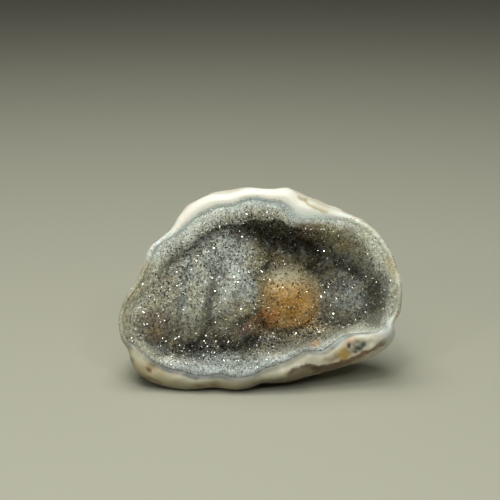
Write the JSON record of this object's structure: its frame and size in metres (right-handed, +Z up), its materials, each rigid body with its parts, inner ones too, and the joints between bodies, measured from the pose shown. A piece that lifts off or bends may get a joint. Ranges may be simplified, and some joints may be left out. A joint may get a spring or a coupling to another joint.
{
  "type": "chalcedony rose",
  "caption": "Bowl of banded chalcedony standing on its lower edge, its open hollow lined with fine quartz crystals grown in ridges and round a button",
  "frame": {"origin": "middle of the bounding box at floor level, on the surface that the stone stands on", "axes": "+Z up; +X along the stone's length; the open hollow faces -Y and leans back 15 degrees"},
  "size_m": [0.0465, 0.0224, 0.0319],
  "materials": {
    "chalcedony": "waxy",
    "drusy_quartz": "sparkling"
  },
  "bodies": {
    "root": {"chalcedony_shell": "chalcedony", "drusy_quartz_crust": "drusy_quartz"}
  },
  "joints": []
}
